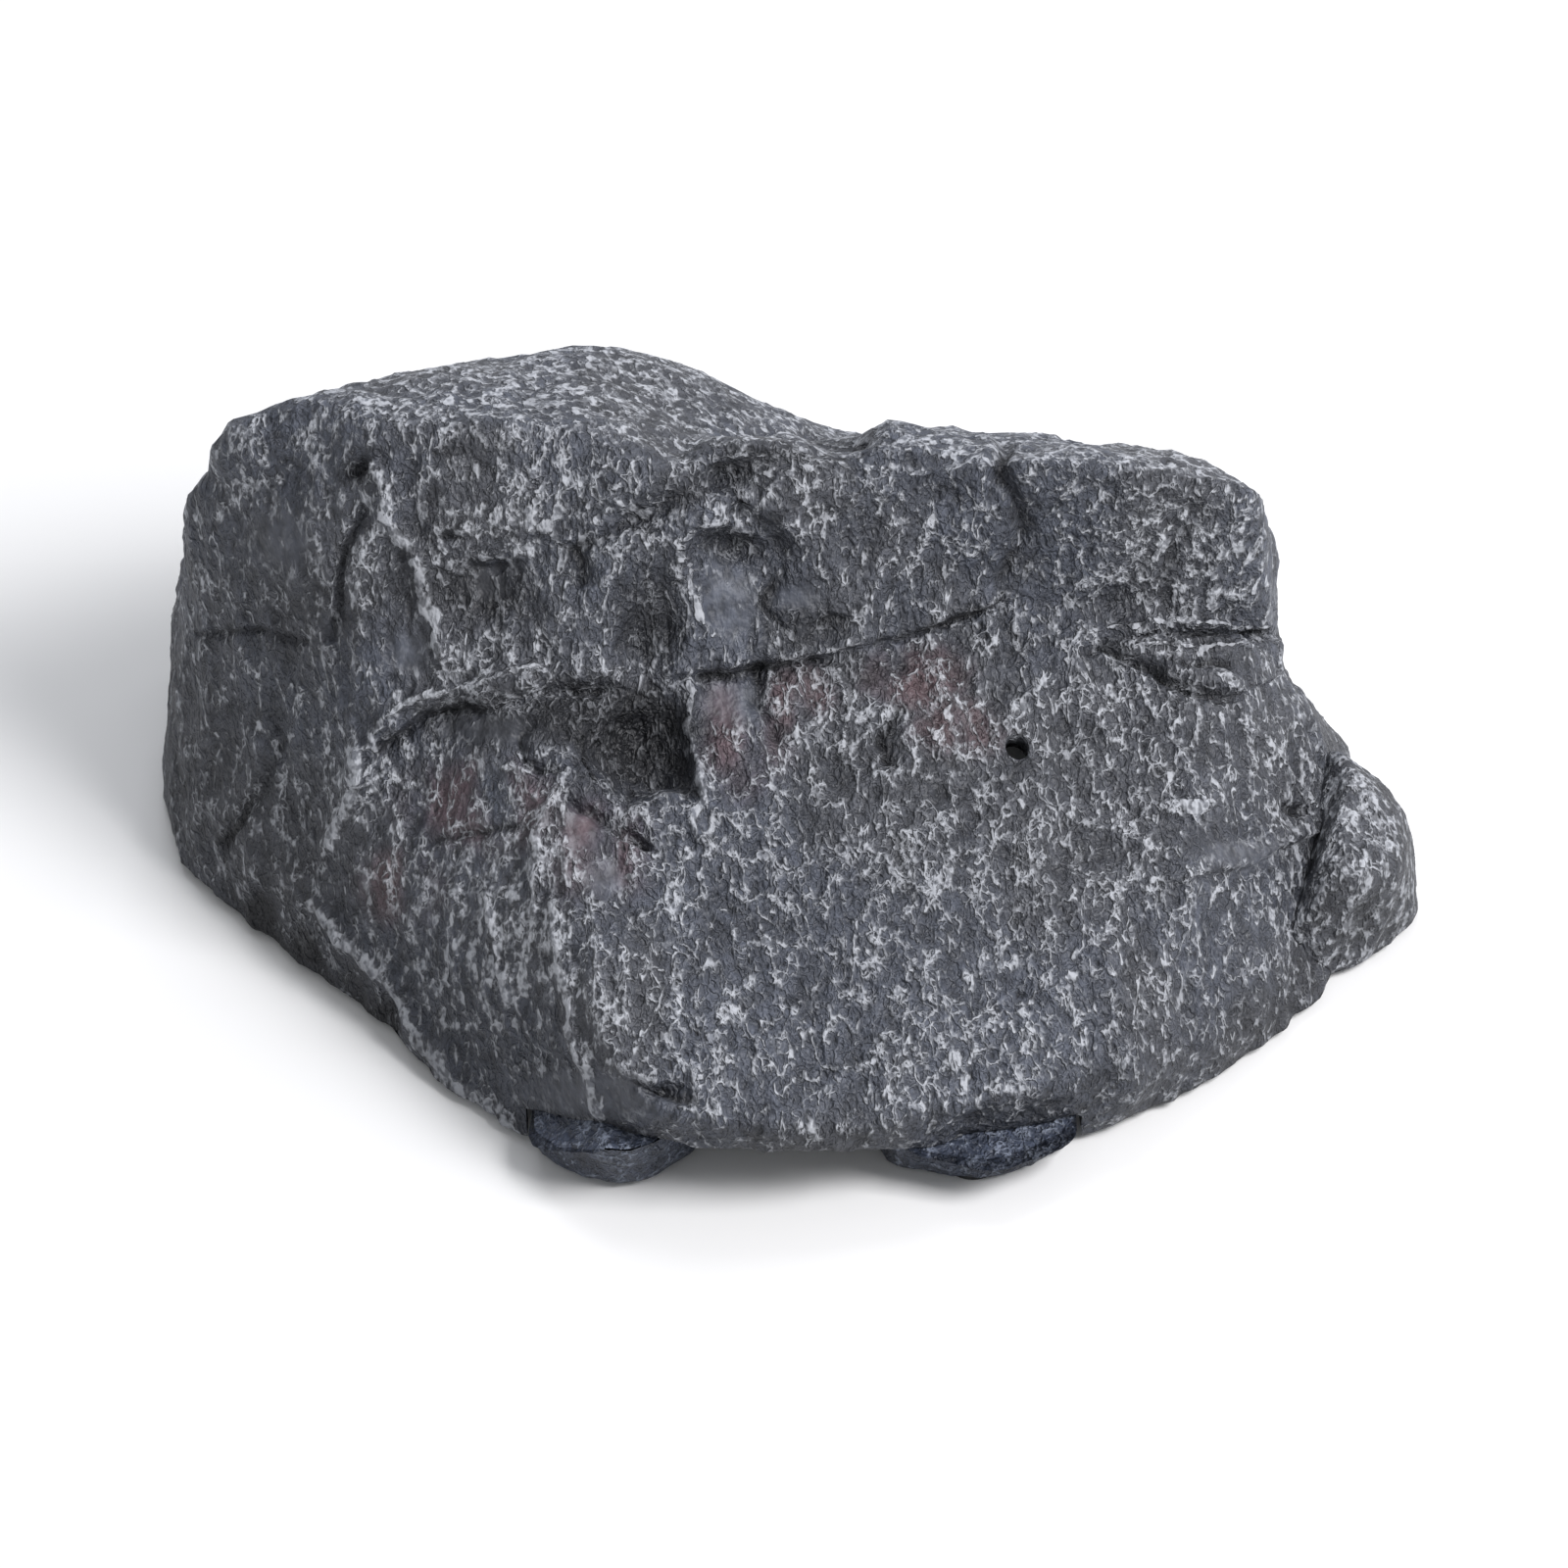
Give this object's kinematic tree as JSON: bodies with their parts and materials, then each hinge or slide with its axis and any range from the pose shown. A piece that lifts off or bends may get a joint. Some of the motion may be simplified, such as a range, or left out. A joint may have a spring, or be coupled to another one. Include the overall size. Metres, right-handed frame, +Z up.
{
  "type": "resin rock cave ornament",
  "caption": "Hollow cast resin boulder, open underneath, with a low cave mouth under its front brow, a wider mouth at the back and a drilled air vent, on soft rim pads.",
  "frame": {"origin": "on the floor under the middle of the object's bounding box", "axes": "+X along the long side, to the right seen from the front; +Y to the back; +Z up; the broad sloping front with the low mouth looks along -Y"},
  "size_m": [0.25, 0.181, 0.104],
  "materials": {
    "rock_resin": "matte",
    "foot_resin": "satin",
    "pad_rubber": "matte"
  },
  "bodies": {
    "root": {"rock_shell": "rock_resin", "foot_stone_left": "foot_resin", "foot_stone_right": "foot_resin", "end_stone": "rock_resin", "foot_pad_left": "pad_rubber", "foot_pad_right": "pad_rubber", "rim_pad_left": "pad_rubber", "rim_pad_right": "pad_rubber", "rim_pad_rear_right": "pad_rubber", "rim_pad_rear_left": "pad_rubber"}
  },
  "joints": []
}
